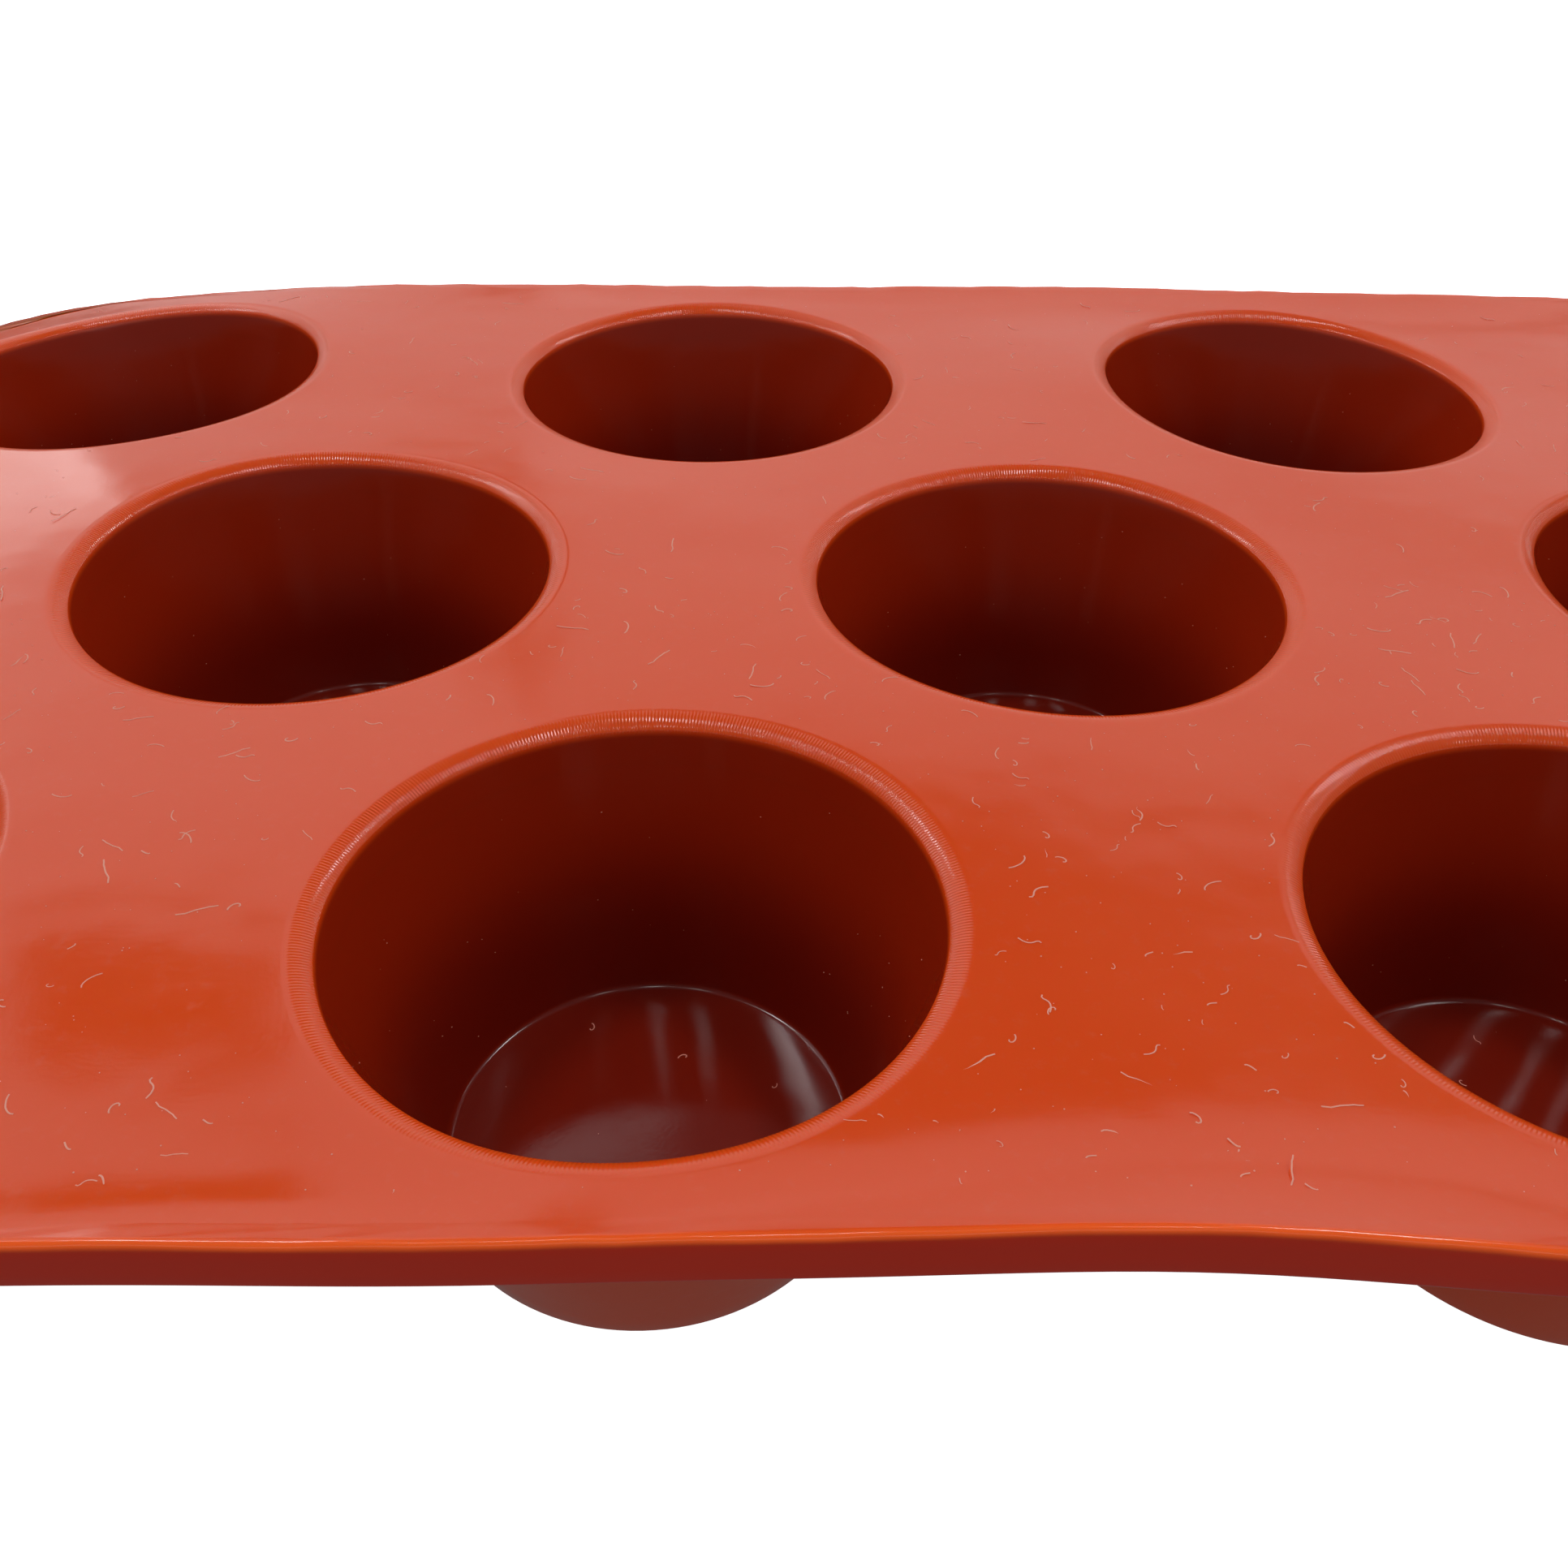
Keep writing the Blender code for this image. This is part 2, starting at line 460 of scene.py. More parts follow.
def make_rim():
    """The rim, open at the top and at the underside where the webs join it."""
    put_down()
    bpy.ops.mesh.primitive_plane_add(size=1, location=(0, 0, DECK_TOP))
    rim = bpy.context.object
    bpy.ops.object.mode_set(mode="EDIT")
    start = rim_section()[0][0]
    bpy.ops.transform.resize(value=(LENGTH - 2 * start, WIDTH - 2 * start, 1))
    bpy.ops.mesh.bevel(offset=CORNER_RADIUS - start, segments=CORNER_STEPS, affect="VERTICES")
    bpy.ops.mesh.select_mode(type="EDGE")
    bpy.ops.mesh.delete(type="ONLY_FACE")
    mesh = bmesh.from_edit_mesh(rim.data)
    for edge in mesh.edges:
        edge.select_set(edge.calc_length() > CORNER_RADIUS)
    bmesh.update_edit_mesh(rim.data)
    bpy.ops.mesh.subdivide(number_cuts=RIM_CUTS)
    bpy.ops.mesh.select_all(action="SELECT")
    bpy.ops.object.mode_set(mode="OBJECT")
    bpy.ops.object.transform_apply(location=True)
    bpy.ops.object.mode_set(mode="EDIT")
    section = rim_section()
    for here, there in zip(section, section[1:]):
        step = (0, 0, there[1] - here[1])
        bpy.ops.mesh.extrude_edges_move(TRANSFORM_OT_translate={"value": step})
        mesh = bmesh.from_edit_mesh(rim.data)
        for vertex in mesh.verts:
            if vertex.select:
                push = outward(vertex.co) * (here[0] - there[0])
                vertex.co.x += push.x
                vertex.co.y += push.y
        bmesh.update_edit_mesh(rim.data)
    bpy.ops.object.mode_set(mode="OBJECT")
    return rim


rim = make_rim()
print("rim:", len(rim.data.polygons), "faces")

# %% [markdown]
# ## Join the sheet
#
# The two webs, the rim and a lip for every cup become one closed skin, because the real sheet
# is one moulding. Each pair of open loops is bridged: web to rim and web to lip, above and
# below. A bridge copes with loops that don't have the same number of vertices.

# %% Bridge webs, rim and lips into one skin
NEAR = 0.00005


def copy_to(pattern, name, centre):
    """A copy of a pattern with a mesh of its own, moved to a cup's place."""
    piece = bpy.data.objects.new(name, pattern.data.copy())
    piece.data.name = name
    bpy.context.scene.collection.objects.link(piece)
    piece.data.transform(Matrix.Translation((centre.x, centre.y, 0)))
    return piece


lips = [copy_to(pattern_lip, f"lip_{name}", centre) for name, centre in CUP_CENTRES.items()]
take_up(rim, *lips, sheet)
bpy.ops.object.join()


def bridge(wanted):
    bpy.ops.mesh.select_all(action="DESELECT")
    chosen = select_border(sheet, wanted)
    bpy.ops.mesh.bridge_edge_loops()
    return chosen


work_on(sheet, "EDGE")
for height in (DECK_TOP, DECK_UNDERSIDE):
    for centre in CUP_CENTRES.values():
        bridge(
            lambda co: abs(co.z - height) < NEAR
            and (co.xy - centre).length < LIP_START + HOLE_CLEARANCE + NEAR
        )
    bridge(lambda co: abs(co.z - height) < 2 * RIM_HOLLOW)
bpy.ops.mesh.select_all(action="SELECT")
bpy.ops.mesh.normals_make_consistent(inside=False)
mesh = bmesh.from_edit_mesh(sheet.data)
open_edges = sum(not edge.is_manifold for edge in mesh.edges)
put_down()
print("sheet:", len(sheet.data.polygons), "faces,", open_edges, "open edges")

# %% Set the cups under their lips
cups = {name: copy_to(pattern_cup, f"{name}_skin", centre) for name, centre in CUP_CENTRES.items()}
for pattern in (pattern_cup, pattern_lip):
    bpy.data.objects.remove(pattern)
print("cups:", ", ".join(cups))

# %% [markdown]
# ## A sheet that won't lie flat
#
# Silicone remembers how it was stored. The cups stand firm on their bases, but the sheet
# between them rises and dips, most of all at its free edges and corners. A handful of soft
# swells, each with a place, a height and a reach, is added together. Where the front edge arches
# up it is also drawn in a little, as the same length of rubber has further to go.

# %% List the swells and add them up
# Each swell: centre x and y, height, reach along x and along y, in millimetres.
FRONT_EDGE_SWELLS = [
    (-2, -97, 5.3, 24, 13),
    (-34, -97, 2.8, 21, 12),
    (-68, -90, 1.4, 22, 4),
    (28, -97, 1.7, 24, 13),
    (62, -97, 1.5, 30, 13),
]
BACK_EDGE_SWELLS = [
    (-152, 90, -3.6, 22, 26),
    (-124, 98, -1.9, 26, 20),
    (-60, 98, 1.3, 40, 13),
    (10, 98, 2.5, 45, 13),
    (75, 98, 2.4, 40, 13),
]
INNER_SWELLS = [
    (-142, 46, -0.5, 20, 26),
    (-104, 62, 0.6, 22, 26),
    (-97, 14, 1.4, 22, 22),
    (-62, -8, -0.3, 22, 22),
    (-12, -30, 0.5, 22, 22),
    (14, -50, -0.5, 20, 24),
    (14, 54, 1.2, 22, 26),
    (66, 54, -0.8, 22, 26),
    (66, -46, 1.2, 22, 24),
]
RIGHT_END_SWELLS = [
    (152, -92, 3.0, 32, 24),
    (154, 10, -1.0, 18, 36),
    (150, 92, -2.6, 26, 24),
]
SWELLS = FRONT_EDGE_SWELLS + BACK_EDGE_SWELLS + INNER_SWELLS + RIGHT_END_SWELLS
MILLIMETRES = 1000


def swell_height(x, y, swells=SWELLS):
    """How far the sheet stands above its flat shape at a place."""
    total = 0.0
    for centre_x, centre_y, height, reach_x, reach_y in swells:
        across = (x * MILLIMETRES - centre_x) / reach_x
        along = (y * MILLIMETRES - centre_y) / reach_y
        total += height * math.exp(-across * across - along * along)
    return total / MILLIMETRES


print(len(SWELLS), "swells, highest at the front edge:", round(swell_height(0, -WIDTH / 2), 4))

# %% [markdown]
# ## Remember the flat shape
#
# The finishes need to know where a point lies on its cup and how far it is from the sheet's
# outline, and that is easy to say only while everything is flat. So each vertex is given its
# place now, as attributes that the materials read later.

# %% Store each vertex's place
PLACE_ATTRIBUTES = {"from_axis": "FLOAT_VECTOR", "off_axis": "FLOAT", "from_outline": "FLOAT"}


def offset_from_axis(point):
    """The way from the nearest cup's axis to a point."""
    place = Vector((point.x, point.y))
    return min((place - centre for centre in CUP_CENTRES.values()), key=lambda away: away.length)


def distance_from_outline(point):
    """How far a point lies inside the sheet's rounded outline."""
    core_x = LENGTH / 2 - CORNER_RADIUS
    core_y = WIDTH / 2 - CORNER_RADIUS
    past_x = abs(point.x) - core_x
    past_y = abs(point.y) - core_y
    past = math.hypot(max(past_x, 0), max(past_y, 0)) + min(max(past_x, past_y), 0)
    return CORNER_RADIUS - past


def remember_place(piece):
    """Stores, in millimetres, each vertex's place on its cup and its distance from the outline."""
    attributes = piece.data.attributes
    for name, kind in PLACE_ATTRIBUTES.items():
        attributes.new(name, kind, "POINT")
    # A new attribute moves the older ones, so they are fetched when all are there.
    from_axis, off_axis, from_outline = (attributes[name].data for name in PLACE_ATTRIBUTES)
    for index, vertex in enumerate(piece.data.vertices):
        away = offset_from_axis(vertex.co)
        place = Vector((away.x, away.y, vertex.co.z - DECK_TOP))
        from_axis[index].vector = place * MILLIMETRES
        off_axis[index].value = away.length * MILLIMETRES
        from_outline[index].value = distance_from_outline(vertex.co) * MILLIMETRES


for piece in [sheet, *cups.values()]:
    remember_place(piece)
print("stored:", ", ".join(PLACE_ATTRIBUTES))

# %% [markdown]
# ## Roughen the rim and bend everything
#
# The rim's top corner is a little uneven, as trimmed silicone is, so it gets a fine noise while
# it is still straight. Then every piece is carried by the swells. A cup follows the sheet at its
# mouth and not at all at its base, with a soft change between.

# %% Ripple the rim's corner and carry the pieces
RIPPLE = 0.00030
RIPPLE_REACH = 0.0012
RIPPLE_PER_METRE = 210
FINER = 2.3
FINER_SHARE = 0.5
DRAW_IN = 0.4
SMOOTH_UP_TO = math.radians(50)


def ripple_rim(piece):
    """Moves the vertices near the rim's top corner up or down by a fine noise."""
    for vertex in piece.data.vertices:
        inward = distance_from_outline(vertex.co)
        below = DECK_TOP - vertex.co.z
        share = max(0.0, 1 - inward / RIPPLE_REACH) * max(0.0, 1 - below / RIPPLE_REACH)
        if share > 0:
            place = Vector((vertex.co.x, vertex.co.y, 0)) * RIPPLE_PER_METRE
            fine = noise.noise(place) + FINER_SHARE * noise.noise(place * FINER)
            vertex.co.z += RIPPLE * share * fine


def carried(point):
    """Where a point goes with the sheet. The front edge is drawn in where it arches up."""
    share = max(0.0, min(1.0, point.z / DECK_TOP))
    share = share * share * (3 - 2 * share)
    lift = swell_height(point.x, point.y)
    arch = swell_height(point.x, point.y, FRONT_EDGE_SWELLS)
    return Vector((point.x, point.y + share * arch * DRAW_IN, point.z + share * lift))


ripple_rim(sheet)
for piece in [sheet, *cups.values()]:
    for vertex in piece.data.vertices:
        vertex.co = carried(vertex.co)
    take_up(piece)
    bpy.ops.object.shade_smooth_by_angle(angle=SMOOTH_UP_TO)
heights = [vertex.co.z for vertex in sheet.data.vertices]
print("the sheet now runs from", round(min(heights), 4), "to", round(max(heights), 4))

# %% [markdown]
# ## Lint and dust
#
# Silicone holds on to every bit of fluff. A strand is drawn as a wandering line of vertices,
# turned into a curve to give it a thickness, and made a mesh again. A few patterns are drawn,
# and each is copied many times with its own size and turn, so that no two look alike. A speck of
# dust is so small that a ball of twenty faces is enough.

# %% Draw a few strands and a speck
chance = random.Random(41)
STRAND_STEPS = 9
STRAND_THICKNESS = 0.00013
STRAND_UNREST = 0.6
# Each strand: length and curl.
STRANDS = [(0.0010, 0.5), (0.0016, 0.8), (0.0024, 0.4), (0.0032, 0.7), (0.0022, 1.1)]


def strand_pattern(length, curl):
    """A short curly strand that lies flat."""
    put_down()
    bpy.ops.mesh.primitive_plane_add(size=0.0001)
    strand = bpy.context.object
    bpy.ops.object.mode_set(mode="EDIT")
    bpy.ops.mesh.select_mode(type="VERT")
    bpy.ops.mesh.select_all(action="SELECT")
    bpy.ops.mesh.merge(type="CENTER")
    heading = 0.0
    turn = chance.uniform(-curl, curl)
    for _ in range(STRAND_STEPS):
        turn += chance.uniform(-curl, curl) * STRAND_UNREST
        heading += turn
        reach = length / STRAND_STEPS
        step = (reach * math.cos(heading), reach * math.sin(heading), 0)
        bpy.ops.mesh.extrude_region_move(TRANSFORM_OT_translate={"value": step})
    bpy.ops.object.mode_set(mode="OBJECT")
    bpy.ops.object.convert(target="CURVE")
    strand.data.bevel_depth = STRAND_THICKNESS / 2
    strand.data.bevel_resolution = 0
    strand.data.use_fill_caps = True
    bpy.ops.object.convert(target="MESH")
    bpy.ops.object.mode_set(mode="EDIT")
    bpy.ops.mesh.select_all(action="SELECT")
    bpy.ops.mesh.remove_doubles(threshold=1e-7)
    bpy.ops.mesh.normals_make_consistent(inside=False)
    bpy.ops.object.mode_set(mode="OBJECT")
    return bpy.context.object


strand_patterns = [strand_pattern(length, curl) for length, curl in STRANDS]
put_down()
bpy.ops.mesh.primitive_ico_sphere_add(subdivisions=1, radius=1)
speck = bpy.context.object
print("a strand:", len(strand_patterns[0].data.polygons), "faces")

# %% [markdown]
# ## Scatter them
#
# Each strand and speck is carried by the same swells that bent the sheet, so nothing floats.
# Most of the lint lies on the webs between the cups, more of it at the front, and a little lies
# on the cups' floors. The finer dust clings to the cups' walls too. Everything is pressed flat,
# so that it takes the light from above as the skin under it does.

# %% Pick places for lint and dust
LENGTH_IN_USE = 0.97
WIDTH_IN_USE = 0.94
BACK_SHARE = 0.45
FLOOR_SHARE = 0.16
WALL_SHARE = 0.35
LIP_CLEARANCE = 0.0006
FLOOR_CLEARANCE = 0.003


def resting_place():
    """A random spot on the skin of the deck or of a cup's floor."""
    while True:
        x = chance.uniform(-LENGTH / 2, LENGTH / 2) * LENGTH_IN_USE
        y = chance.uniform(-WIDTH / 2, WIDTH / 2) * WIDTH_IN_USE
        if y > 0 and chance.random() > BACK_SHARE:
            continue
        away = offset_from_axis(Vector((x, y))).length
        if away > LIP_START + LIP_CLEARANCE:
            return carried(Vector((x, y, DECK_TOP)))
        if away < FLOOR_RADIUS - FLOOR_CLEARANCE and chance.random() < FLOOR_SHARE:
            return Vector((x, y, FLOOR_THICKNESS))


def clinging_place():
    """A random spot on the inside of a cup's wall, or else a resting place."""
    if chance.random() > WALL_SHARE:
        return resting_place()
    centre = chance.choice(list(CUP_CENTRES.values()))
    height = chance.uniform(FLOOR_THICKNESS + FLOOR_FILLET, JOINT_HEIGHT)
    around = chance.uniform(0, math.tau)
    out = Vector((math.cos(around), math.sin(around))) * inner_radius(height)
    return carried(Vector((centre.x + out.x, centre.y + out.y, height)))


# %% Scatter lint and dust
LINT_COUNT = 620
LINT_SIZES = (0.5, 1.1)
DUST_COUNT = 1700
DUST_SIZES = (0.00003, 0.00008)
SINK = 0.35
FLATNESS = 0.4


def scatter(name, patterns, count, place_for, height, sizes):
    """Joins many small copies of the patterns into one piece."""
    copies = []
    for index in range(count):
        pattern = patterns[index % len(patterns)]
        piece = bpy.data.objects.new(name, pattern.data.copy())
        bpy.context.scene.collection.objects.link(piece)
        place = place_for()
        size = chance.uniform(*sizes)
        place.z += height * size * FLATNESS * (1 - SINK)
        turn = Matrix.Rotation(chance.uniform(0, math.tau), 4, "Z")
        flat = Matrix.Diagonal((size, size, size * FLATNESS, 1))
        piece.data.transform(Matrix.Translation(place) @ turn @ flat)
        copies.append(piece)
    take_up(*copies)
    bpy.ops.object.join()
    joined = bpy.context.object
    joined.name = joined.data.name = name
    for pattern in patterns:
        bpy.data.objects.remove(pattern)
    return joined


lint_height = STRAND_THICKNESS / 2
lint = scatter("lint_strands", strand_patterns, LINT_COUNT, resting_place, lint_height, LINT_SIZES)
dust = scatter("dust_specks", [speck], DUST_COUNT, clinging_place, 1, DUST_SIZES)
print("lint:", len(lint.data.polygons), "faces, dust:", len(dust.data.polygons), "faces")

# %% [markdown]
# ## Finishes as sums
#
# A finish is a material whose nodes are wired up by Python. A small class wraps a socket, so
# that `1 - mask` or `a * b` adds the Math nodes for itself, and one method makes every other
# kind of node. Colours are mixed by a Mix node, as a Math node would turn them grey.

# %% A socket that can be used in sums


class Value:
    """A socket of a finish. A sum on it adds Math nodes."""

    def __init__(self, finish, socket):
        self.finish = finish
        self.socket = socket

    def math(self, operation, *values):
        return self.finish.node("ShaderNodeMath", {"operation": operation}, *values)

    def __add__(self, other):
        return self.math("ADD", self, other)

    def __radd__(self, other):
        return self.math("ADD", other, self)

    def __sub__(self, other):
        return self.math("SUBTRACT", self, other)

    def __rsub__(self, other):
        return self.math("SUBTRACT", other, self)

    def __mul__(self, other):
        return self.math("MULTIPLY", self, other)

    def __rmul__(self, other):
        return self.math("MULTIPLY", other, self)

    def ramp(self, start, end):
        """0 up to start and 1 from end, with a soft change between."""
        settings = {"interpolation_type": "SMOOTHSTEP"}
        return self.finish.node("ShaderNodeMapRange", settings, self, start, end, 0.0, 1.0)


# %% A finish round one shader


class Finish:
    """A material round one Principled shader."""

    def __init__(self, name):
        self.material = bpy.data.materials.new(name)
        self.material.use_nodes = True
        self.tree = self.material.node_tree
        self.shader = self.tree.nodes["Principled BSDF"]

    def feed(self, socket, value):
        if isinstance(value, Value):
            self.tree.links.new(value.socket, socket)
        else:
            socket.default_value = value

    def node(self, kind, settings, *values, output=0, **named):
        node = self.tree.nodes.new(kind)
        for setting, value in settings.items():
            setattr(node, setting, value)
        for place, value in [*enumerate(values), *named.items()]:
            self.feed(node.inputs[place], value)
        return Value(self, node.outputs[output])

    def blend(self, amount, low, high):
        """A colour between low and high."""
        mix = self.tree.nodes.new("ShaderNodeMix")
        mix.data_type = "RGBA"
        for place, value in ((0, amount), (6, low), (7, high)):
            self.feed(mix.inputs[place], value)
        return Value(self, mix.outputs[2])

    def noise(self, place, scale, detail=2.0, roughness=0.5):
        settings = {"noise_dimensions": "3D"}
        return self.node(
            "ShaderNodeTexNoise", settings, Vector=place, Scale=scale, Detail=detail, Roughness=roughness
        )

    def wear(self, piece):
        piece.data.materials.clear()
        piece.data.materials.append(self.material)


# %% [markdown]
# ## The zones of the silicone
#
# Coloured silicone is satin, a little clear below its skin, and never quite clean. Light goes a
# millimetre or so into it, which the subsurface part of the shader does, and it comes out
# orange wherever the wall turns a corner; at the lips and the rim's top corner that orange is also
# painted into the colour as a painted glow. So the finish first works out, from the stored
# places, which zone a point is in: a lip, a cup's inside, the rim's edge or its face. The lips
# also carry fine ridges from the moulding tool, drawn round each cup's own axis.

# %% Mark the zones of the moulding
# Each border, in millimetres, is where a zone starts to change and where it is all changed.
LIP_BORDERS = ((24.4, 25.0), (27.2, 27.6))
ROLL_BORDERS = ((0.0, 0.1), (0.7, 1.0))
RIDGE_END = (0.9, 1.1)
INSIDE_START = (0.85, 1.6)
OUTSIDE_START = (26.0, 26.6)
BASE_START = (28.4, 29.0)
RIM_START = (0.2, 0.9)
RIM_EDGE_END = (0.3, 0.9)
RIM_FACE_START = (0.4, 1.1)


class Zones:
    """Masks over the moulding, from each vertex's place on its cup and from the outline."""

    def __init__(self, finish):
        from_axis = finish.node("ShaderNodeAttribute", {"attribute_name": "from_axis"}, output="Vector")
        radius = finish.node("ShaderNodeAttribute", {"attribute_name": "off_axis"}, output="Fac")
        inward = finish.node("ShaderNodeAttribute", {"attribute_name": "from_outline"}, output="Fac")
        across = finish.node("ShaderNodeSeparateXYZ", {}, from_axis, output="X")
        along = finish.node("ShaderNodeSeparateXYZ", {}, from_axis, output="Y")
        depth = finish.node("ShaderNodeSeparateXYZ", {}, from_axis, output="Z") * -1.0
        cone = radius + depth * SLOPE
        rolling = depth.ramp(*ROLL_BORDERS[0])
        lip = radius.ramp(*LIP_BORDERS[0]) * (1.0 - radius.ramp(*LIP_BORDERS[1]))
        border = 1.0 - inward.ramp(*RIM_START)
        above_base = 1.0 - depth.ramp(*BASE_START)

        self.depth = depth
        self.angle = finish.node("ShaderNodeMath", {"operation": "ARCTAN2"}, along, across)
        self.rolled = lip * rolling * (1.0 - depth.ramp(*ROLL_BORDERS[1]))
        self.ridged = lip * rolling * (1.0 - depth.ramp(*RIDGE_END))
        self.inside = depth.ramp(*INSIDE_START) * (1.0 - cone.ramp(*OUTSIDE_START)) * above_base
        self.rim_edge = border * (1.0 - depth.ramp(*RIM_EDGE_END))
        self.rim_face = border * depth.ramp(*RIM_FACE_START)


# Below this depth the cups' walls are painted darker, as painted shade.
print("a cup's wall turns dark from", INSIDE_START, "mm below the deck")

# %% [markdown]
# ## Mix the silicone
#
# The colour is built up from the plain red to the special zones. A cup's inside is painted a
# deeper red as painted shade, and deeper still towards its floor, and the rim's face is painted a
# deeper red as painted shade too. The rim's corner carries a painted glow, in its colour and as a
# weak emission, which stands for the light that comes through the thin edge, and the rolled lips
# carry a fainter painted glow in their colour. The bump carries three sizes of unevenness: the
# skin's grain, the ridges of the lip, and slow waves that make the sheen wander.

# %% Mix the silicone
RED = (0.88, 0.080, 0.005, 1)
PALE_RED = (0.90, 0.092, 0.010, 1)
DUSTY = (0.85, 0.33, 0.24, 1)
# Painted shade: the cups' insides are painted a deeper red, and deeper still towards their floors.
CUP_SHADE_RED = (0.40, 0.022, 0.003, 1)
DEEPEST_CUP_SHADE_RED = (0.25, 0.012, 0.003, 1)
SHADE_DEEPENS = (8.0, 23.0)
# Painted shade: the rim's face is painted a deeper red than the deck.
RIM_FACE_SHADE_RED = (0.88, 0.035, 0.004, 1)
# Painted glow: the rolled lips and the rim's top corner are painted orange, and the corner also emits a
# little.
GLOW = (1.0, 0.13, 0.012, 1)
EDGE_LIGHT = (0.22, 0.030, 0.006, 1)
BLACK = (0, 0, 0, 1)

MOTTLE_SHARE = 0.6
FILM_SHARE = 0.06
# Shares of the painted glow on the lips and on the rim's corner.
LIP_GLOW = 0.15
RIM_GLOW = 0.9

SATIN = 0.10
UNEVEN_GLOSS = 0.06

RIDGES = 520.0
GRAIN_HEIGHT = 0.5
RIDGE_HEIGHT = 1.5
WAVE_HEIGHT = 20.0
BUMP_UNIT = 0.00003
BUMP_STRENGTH = 0.30


def silicone(name):
    finish = Finish(name)
    zones = Zones(finish)
    place = finish.node("ShaderNodeTexCoord", {}, output="Object")
    mottle = finish.noise(place, 38.0, 3.0).ramp(0.35, 0.7)
    film = finish.noise(place, 900.0, 4.0, 0.7).ramp(0.52, 0.8)
    grain = finish.noise(place, 2600.0, 2.0)
    waves = finish.noise(place, 65.0, 2.0)

    colour = finish.blend(mottle * MOTTLE_SHARE, RED, PALE_RED)
    colour = finish.blend(film * FILM_SHARE, colour, DUSTY)
    # Painted shade: a deeper red inside the cups, deeper towards their floors.
    colour = finish.blend(zones.inside, colour, CUP_SHADE_RED)
    colour = finish.blend(zones.inside * zones.depth.ramp(*SHADE_DEEPENS), colour, DEEPEST_CUP_SHADE_RED)
    # Painted shade: a deeper red on the rim's face.
    colour = finish.blend(zones.rim_face, colour, RIM_FACE_SHADE_RED)
    # Painted glow: orange on the rolled lips and the rim's corner, and a weak emission at the corner.
    colour = finish.blend(zones.rolled * LIP_GLOW, colour, GLOW)
    colour = finish.blend(zones.rim_edge * RIM_GLOW, colour, GLOW)
    glow = finish.blend(zones.rim_edge, BLACK, EDGE_LIGHT)
    finish.feed(finish.shader.inputs["Base Color"], colour)
    finish.feed(finish.shader.inputs["Emission Color"], glow)

    roughness = SATIN + UNEVEN_GLOSS * grain + UNEVEN_GLOSS * film
    finish.feed(finish.shader.inputs["Roughness"], roughness)

    ridges = finish.node("ShaderNodeMath", {"operation": "SINE"}, zones.angle * RIDGES) * zones.ridged
    height = grain * GRAIN_HEIGHT + ridges * RIDGE_HEIGHT + waves * WAVE_HEIGHT
    bump = finish.node(
        "ShaderNodeBump", {}, Strength=BUMP_STRENGTH, Distance=BUMP_UNIT, Height=height
    )
    finish.feed(finish.shader.inputs["Normal"], bump)

    finish.shader.inputs["Emission Strength"].default_value = 1.0
    finish.shader.inputs["IOR"].default_value = 1.48
    finish.shader.inputs["Subsurface Weight"].default_value = 0.35
    finish.shader.inputs["Subsurface Radius"].default_value = (1.0, 0.25, 0.08)
    finish.shader.inputs["Subsurface Scale"].default_value = 0.0008
    return finish


sheet_finish = silicone("red_silicone_sheet")
cup_finish = silicone("red_silicone_cup")
sheet_finish.wear(sheet)
for cup in cups.values():
    cup_finish.wear(cup)
print("silicone nodes:", len(sheet_finish.tree.nodes))

# %% [markdown]
# ## The fluff's finish
#
# Fluff is dull and pale. It is thin enough to let the red through, so a pink is closer than a
# grey.

# %% Colour the lint and the dust
fluff = Finish("pale_fluff")
FLUFF_PINK = (1.0, 0.44, 0.33, 1)
fluff.feed(fluff.shader.inputs["Base Color"], FLUFF_PINK)
fluff.feed(fluff.shader.inputs["Roughness"], 0.9)
fluff.wear(lint)
fluff.wear(dust)

# %% [markdown]
# ## Tie the pieces to the model
#
# Nothing on a one-piece mould moves against the rest, so every piece rides on the one body. The
# sheet stands for the deck and the rim, and each skin stands for its cup.

# %% Ride and replace
for piece in (sheet, lint, dust, *cups.values()):
    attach(piece, "root")
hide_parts("deck", "rim")
for name, cup in cups.items():
    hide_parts(name)
print("pieces:", 3 + len(cups))

# %% [markdown]
# ## The studio
#
# The mould stands on a plain pale floor in a dim room. The floor is a little brighter than the
# lights make it, and neither lights the mould nor shows in it, so that it stays an even pale
# backdrop. It lies a hair below the bases, because two faces at one height would flicker.

# %% Lay the floor
FLOOR_SIZE = 6.0
FLOOR_GAP = 0.00005

put_down()
bpy.ops.mesh.primitive_plane_add(size=FLOOR_SIZE, location=(0, 0, -FLOOR_GAP))
floor = bpy.context.object
floor.name = "pale_floor"
paper = Finish("pale_paper")
paper.feed(paper.shader.inputs["Base Color"], (0.93, 0.93, 0.93, 1))
paper.feed(paper.shader.inputs["Roughness"], 0.8)
paper.feed(paper.shader.inputs["Emission Color"], (1, 1, 1, 1))
paper.feed(paper.shader.inputs["Emission Strength"], 1.0)
paper.wear(floor)
floor.visible_diffuse = False
floor.visible_glossy = False

room = bpy.data.worlds.new("dim_room")
room.use_nodes = True
room.node_tree.nodes["Background"].inputs["Color"].default_value = (1, 1, 1, 1)
room.node_tree.nodes["Background"].inputs["Strength"].default_value = 0.13
bpy.context.scene.world = room
print("the floor lies at", -FLOOR_GAP)

# %% [markdown]
# ## The lights
#
# A ring of soft panels stands round the mould. The broadest are the windows low at the back,
# because satin silicone shows its sheen when it is seen along its surface, against the light.
# Two strong lamps high at the sides light the deck and the cups' walls, and three small ones
# overhead give the short glints on the lips.

# %% Hang the lights
PANEL_DISTANCE = 1.6
NEARER = 0.1
BRIGHT = 2

